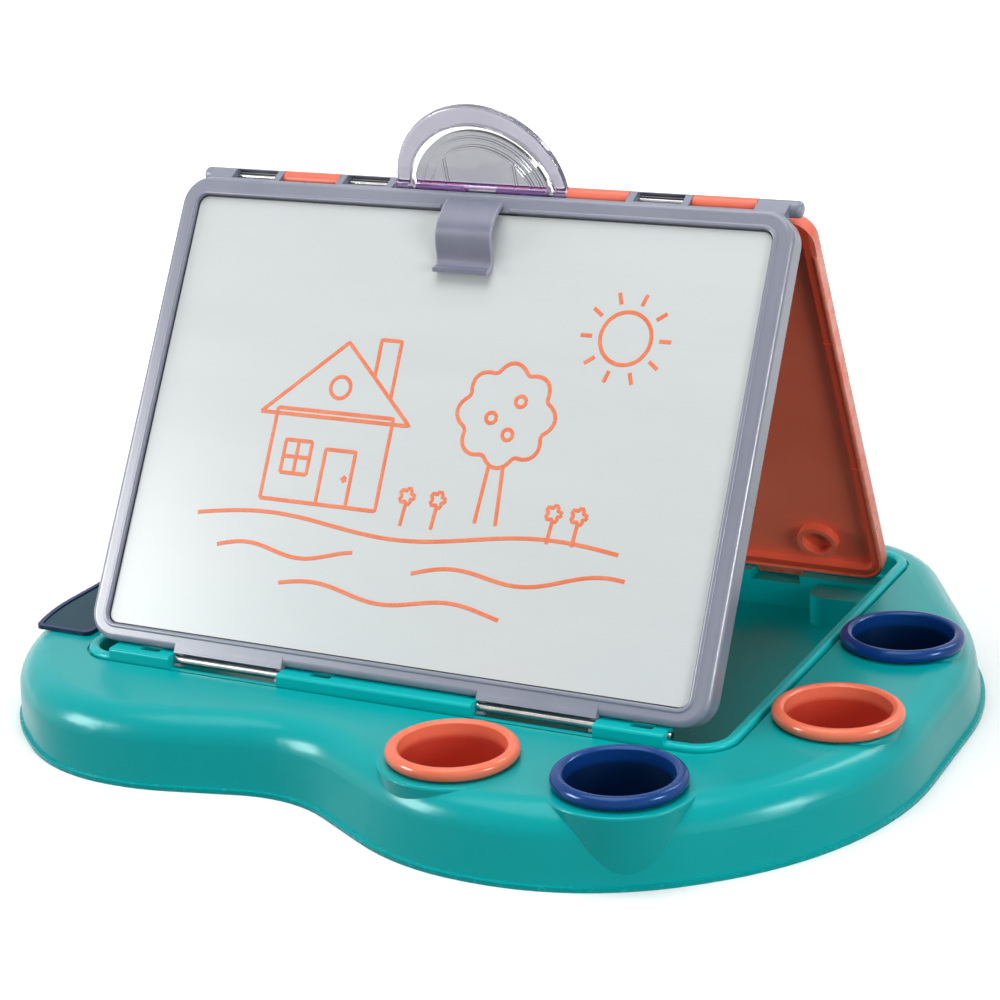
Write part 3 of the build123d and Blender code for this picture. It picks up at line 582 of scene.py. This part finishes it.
clip_plastic, shader, place = new_finish("clip_lavender")
shader.inputs["IOR"].default_value = PLASTIC_IOR
board = place.seen_from(board_at, board_turn)
inward = CLIP_HALF - abs(board.along("X") - CLIP_X)
clouds = place.noise(40, 4, 0.6)
grain = place.noise(2300, 2)
edge = 1 - inward.between(CLIP_RUB_START, CLIP_RUB_END)
rubbed = edge * 0.8 + place.noise(300, 3).between(0.62, 0.75) * 0.2
colour = (rubbed * 0.7).tint(clouds.between(0.3, 0.7).tint(CLIP_CLOUD, CLIP), CLIP_RUB)
settle(shader, colour, 0.3 + (clouds - 0.5) * 0.14 + grain * 0.08, grain, 2e-5)
dress("paper_clip", clip_plastic)

# Ridge rod: a thinner length of the same drawn steel wire, run through every knuckle of both boards
# and the handle.

dress("ridge_rod", rod_steel)

# Rear board: a shallow coral pan with a bead round its rim and small ribs across the channel inside
# the bead, ring bosses near its foot, and tabs that stand in the tray's ledge. It is one moulding.
# The channel inside the bead is painted a deeper, darker red as shade.

CORAL = (0.87, 0.155, 0.083, 1)
CORAL_CLOUD = (0.81, 0.132, 0.07, 1)
CORAL_RUB = (0.86, 0.3, 0.2, 1)
CORAL_CHANNEL_SHADE = (0.74, 0.075, 0.03, 1)
REAR_LEFT, REAR_RIGHT, REAR_FOOT, REAR_CORNER = -0.169, 0.1797, 0.28098, 0.015
REAR_TILT = -60.4
RIM = 0.0067
RIM_EDGE = -0.0015
RIM_RUB_START, RIM_RUB_END = 0.0003, 0.0035
BEAD_WIDTH, BEAD_RISE, BEAD_START = 0.0026, 0.001, 0.03
CHANNEL_START, CHANNEL_FULL = BEAD_WIDTH - 0.0004, BEAD_WIDTH + 0.0004
CHANNEL_TOP, CHANNEL_FADE = RIM_EDGE + 0.0002, 0.0006
RIB_ROWS = (0.024, 0.092, 0.188)

ridge_at = hinges["rear_board_fold"]
rear_turn = math.radians(REAR_TILT)

coral, shader, place = new_finish("coral_satin")
shader.inputs["IOR"].default_value = PLASTIC_IOR
pan = place.seen_from(ridge_at, rear_turn)
side = (pan.along("X") - REAR_LEFT).least(REAR_RIGHT - pan.along("X"))
inward = side.least(REAR_FOOT - pan.along("Y"))
clouds = pan.noise(14, 5, 0.6)
grain = place.noise(2200, 2)
rubbed = 1 - inward.between(RIM_RUB_START, RIM_RUB_END)
rubbed = rubbed * place.noise(110, 4, 0.7).between(0.36, 0.62)
# Painted shade: the channel inside the bead, below the rim's edge, is coloured a deeper, darker red.
channel_shade = inward.between(CHANNEL_START, CHANNEL_FULL) * (1 - inward.between(RIM, RIM + CHANNEL_FADE))
channel_shade = channel_shade * (1 - pan.along("Z").between(CHANNEL_TOP, CHANNEL_TOP + CHANNEL_FADE))
colour = (rubbed * 0.6).tint(clouds.between(0.3, 0.7).tint(CORAL_CLOUD, CORAL), CORAL_RUB)
colour = channel_shade.tint(colour, CORAL_CHANNEL_SHADE)
settle(shader, colour, 0.36 + (clouds - 0.5) * 0.16 + grain * 0.08 - rubbed * 0.12, grain, 2.5e-5)
dress("rear_shell", coral)

tree, given = new_maker("rim_ribs", ("Rib length", "Rib width", "Rib height", "Draft"))
start = given["Geometry"]
size = {"X": given["Rib length"], "Y": given["Rib width"], "Z": given["Rib height"]}
size = start.make("ShaderNodeCombineXYZ", {}, size)
rib = start.make("GeometryNodeMeshCube", {}, {"Size": size, "Vertices X": 3, "Vertices Z": 3})
spot = start.make("GeometryNodeInputPosition", {}, {})
narrow = (spot.along("Z") * -1).most(0) * given["Draft"]
slim = start.make("ShaderNodeCombineXYZ", {}, {"Y": spot.along("Y") * narrow * -1})
rib = rib.make("GeometryNodeSetPosition", {}, {"Geometry": rib, "Offset": slim})
ribs = start.make("GeometryNodeInstanceOnPoints", {}, {"Points": start, "Instance": rib})
turned_out(ribs, ridge_at, rear_turn, coral)

rib_inset = (RIM + BEAD_WIDTH) / 2
rib_spots = []
for row in RIB_ROWS:
    rib_spots.append((REAR_LEFT + rib_inset, row, RIM_EDGE))
    rib_spots.append((REAR_RIGHT - rib_inset, row, RIM_EDGE))
rib_sizes = {
    "Rib length": RIM - BEAD_WIDTH,
    "Rib width": 0.0013,
    "Rib height": 0.0016,
    "Draft": 120.0,
}
rim_ribs = made_piece("rim_ribs", rib_spots, [], tree, rib_sizes)
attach(rim_ribs, "rear_board")

bead_left, bead_right = REAR_LEFT + BEAD_WIDTH / 2, REAR_RIGHT - BEAD_WIDTH / 2
bead_foot = REAR_FOOT - BEAD_WIDTH / 2
bead_points = [
    (bead_left, BEAD_START, RIM_EDGE),
    (bead_left, bead_foot, RIM_EDGE),
    (bead_right, bead_foot, RIM_EDGE),
    (bead_right, BEAD_START, RIM_EDGE),
]
bead_sizes = {
    "Strip width": BEAD_WIDTH,
    "Strip height": 2 * BEAD_RISE,
    "Corner radius": REAR_CORNER - BEAD_WIDTH / 2,
}
tree = swept_strip("rim_bead", ridge_at, rear_turn, coral)
rim_bead = made_piece("rim_bead", bead_points, linked(bead_points), tree, bead_sizes)
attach(rim_bead, "rear_board")

# Chalk panel: a black matt sheet let into the outer side of the rear board. It is never wiped quite
# clean, so chalk dust lies on it in broad curved smears.

SLATE = (0.014, 0.015, 0.016, 1)
CHALK = (0.16, 0.16, 0.155, 1)

slate, shader, place = new_finish("chalk_slate")
pan = place.seen_from(ridge_at, rear_turn)
bent = pan.along("Y") + pan.along("X") * pan.along("X") * 1.6
sweep = pan.make("ShaderNodeCombineXYZ", {}, {"X": pan.along("X") * 4, "Y": bent * 26})
dust = sweep.noise(1, 6, 0.68).between(0.42, 0.78)
speck = place.noise(1500, 3, 0.7)
film = dust * (0.45 + speck * 0.7)
settle(shader, (film * 0.55).tint(SLATE, CHALK), 0.72 + film * 0.2, speck, 5e-5)
dress("chalkboard_panel", slate)

# Carry handle: a half ring of smoky see-through plastic with an eye at each foot on the ridge rod,
# paler where its rounded edges gather light.

HAZE = (0.38, 0.37, 0.43, 1)
HAZE_CLOUD = (0.345, 0.335, 0.39, 1)
PALE_VIOLET = (0.7, 0.58, 0.82, 1)
BARREL = 0.0046
GRIP_TILT = 107

grip_turn = math.radians(GRIP_TILT)


def clear_plastic(name, light, cloud, barrel_colour):
    """See-through plastic, tinted violet in the thick barrel round the ridge rod."""
    finish, shader, place = new_finish(name)
    shader.inputs["Transmission Weight"].default_value = 0.92
    shader.inputs["IOR"].default_value = 1.45
    grip = place.seen_from(ridge_at, grip_turn)
    reach = grip.along("Y") * grip.along("Y") + grip.along("Z") * grip.along("Z")
    barrel = 1 - reach.between(BARREL**2, (BARREL * 1.25) ** 2)
    clouds = place.noise(45, 4, 0.6)
    rubs = grip.spread(500, 60, 60).noise(1, 3).between(0.6, 0.72)
    colour = barrel.tint(clouds.between(0.3, 0.7).tint(cloud, light), barrel_colour)
    settle(shader, colour, 0.05 + clouds * 0.06 + rubs * 0.08, clouds - rubs * 0.3, 1.5e-5)
    return finish


dress("carry_handle", clear_plastic("smoky_handle", HAZE, HAZE_CLOUD, PALE_VIOLET))

# Handle flap: a half disc of clearer plastic that swings inside the handle, with moulded lines on its
# faces and a violet barrel of its own.

VIOLET = (0.54, 0.35, 0.7, 1)
MIST = (0.33, 0.335, 0.36, 1)
MIST_CLOUD = (0.3, 0.305, 0.33, 1)

dress("handle_flap", clear_plastic("misty_flap", MIST, MIST_CLOUD, VIOLET))

# Camera: stands a little to the right of the board's middle and looks down on it, rolled by two
# degrees. Its focal length is worked out from the picture's width in pixels.

CAMERA_AIM = Vector((0.086671, -0.1721, 0.171352))
AZIMUTH, ELEVATION, ROLL = (math.radians(angle) for angle in (26.724, 17.984, -2.104))
DISTANCE = 1.162949
SENSOR = 36
PICTURE_PIXELS, FOCAL_PIXELS = 1000, 2522.372

camera = bpy.data.objects.new("camera", bpy.data.cameras.new("camera"))
bpy.context.scene.collection.objects.link(camera)
bpy.context.scene.camera = camera
camera.data.sensor_width = SENSOR
camera.data.lens = FOCAL_PIXELS * SENSOR / PICTURE_PIXELS
level = math.cos(ELEVATION)
back = Vector((math.sin(AZIMUTH) * level, -math.cos(AZIMUTH) * level, math.sin(ELEVATION)))
turned = (-back).to_track_quat("-Z", "Y").to_matrix().to_4x4() @ Matrix.Rotation(ROLL, 4, "Z")
camera.matrix_world = Matrix.Translation(CAMERA_AIM + back * DISTANCE) @ turned

# Studio: a white paper floor under a white surround, a wide lamp overhead and a low one at each side.
# Three small lamps at the left, at the right and behind only show as highlights on glossy surfaces.

SURROUND = 0.3
PAPER = (0.95, 0.95, 0.95, 1)
PAPER_BOUNCE = (0.2, 0.2, 0.2, 1)
FAR_GLOW = (0.92, 0.92, 0.92, 1)
NO_GLOW = (0, 0, 0, 1)
GLOW_START, GLOW_FULL = 0.3, 0.85
FLOOR_SIZE = 20


def lamp(name, place, aim, size, power, lights=True, shines=True):
    """A rectangular soft lamp that faces a point. It lights surfaces, shows in their gloss, or both."""
    light = bpy.data.objects.new(name, bpy.data.lights.new(name, "AREA"))
    bpy.context.scene.collection.objects.link(light)
    light.data.shape = "RECTANGLE"
    light.data.size, light.data.size_y = size
    light.data.energy = power
    light.location = place
    light.rotation_euler = (Vector(aim) - Vector(place)).to_track_quat("-Z", "Y").to_euler()
    light.visible_diffuse = lights
    light.visible_glossy = shines


lamp("top_lamp", (-0.1, -0.2, 2.2), (0, 0, 0.1), (1.8, 1.8), 42)
lamp("fill_lamp", (1.65, -0.9, 0.45), (0.15, 0.1, 0.1), (0.8, 0.6), 15, shines=False)
lamp("side_lamp", (-1.5, -0.5, 0.25), (-0.2, -0.1, 0.05), (0.8, 0.4), 12, shines=False)
lamp("left_sheen", (-1.25, -1.0, 0.65), (-0.1, -0.16, 0.05), (0.6, 0.6), 36, lights=False)
lamp("right_sheen", (1.6, -0.2, 0.5), (0.2, -0.1, 0.05), (0.4, 0.4), 16, lights=False)
lamp("back_sheen", (0.85, 0.95, 1.2), (0.1, 0, 0.05), (0.2, 0.7), 7, lights=False)


def seen_rays(tree):
    """1 for rays that look straight at, or by mirror or glass at, the surroundings."""
    rays = tree.nodes.new("ShaderNodeLightPath")
    straight = Field(tree, rays.outputs["Is Camera Ray"])
    mirrored = Field(tree, rays.outputs["Is Glossy Ray"])
    return straight.most(mirrored).most(Field(tree, rays.outputs["Is Transmission Ray"]))


world = bpy.data.worlds.new("studio")
bpy.context.scene.world = world
world.use_nodes = True
sky = world.node_tree.nodes["Background"]
sky.inputs["Color"].default_value = (1, 1, 1, 1)
strength = SURROUND + seen_rays(world.node_tree) * (1 - SURROUND)
world.node_tree.links.new(strength.socket, sky.inputs["Strength"])

bpy.ops.mesh.primitive_plane_add(size=FLOOR_SIZE)
floor = bpy.context.object
floor.name = "floor"
paper, shader, place = new_finish("paper_floor")
shader.inputs["Roughness"].default_value = 0.9
shader.inputs["Specular IOR Level"].default_value = 0.0
shader.inputs["Emission Strength"].default_value = 1.0
seen = seen_rays(paper.node_tree)
reach = place.along("X") * place.along("X") + place.along("Y") * place.along("Y")
far = reach.between(GLOW_START**2, GLOW_FULL**2) * seen
paper.node_tree.links.new(seen.tint(PAPER_BOUNCE, PAPER).socket, shader.inputs["Base Color"])
paper.node_tree.links.new(far.tint(NO_GLOW, FAR_GLOW).socket, shader.inputs["Emission Color"])
floor.data.materials.append(paper)

bpy.context.scene.view_settings.view_transform = "Standard"
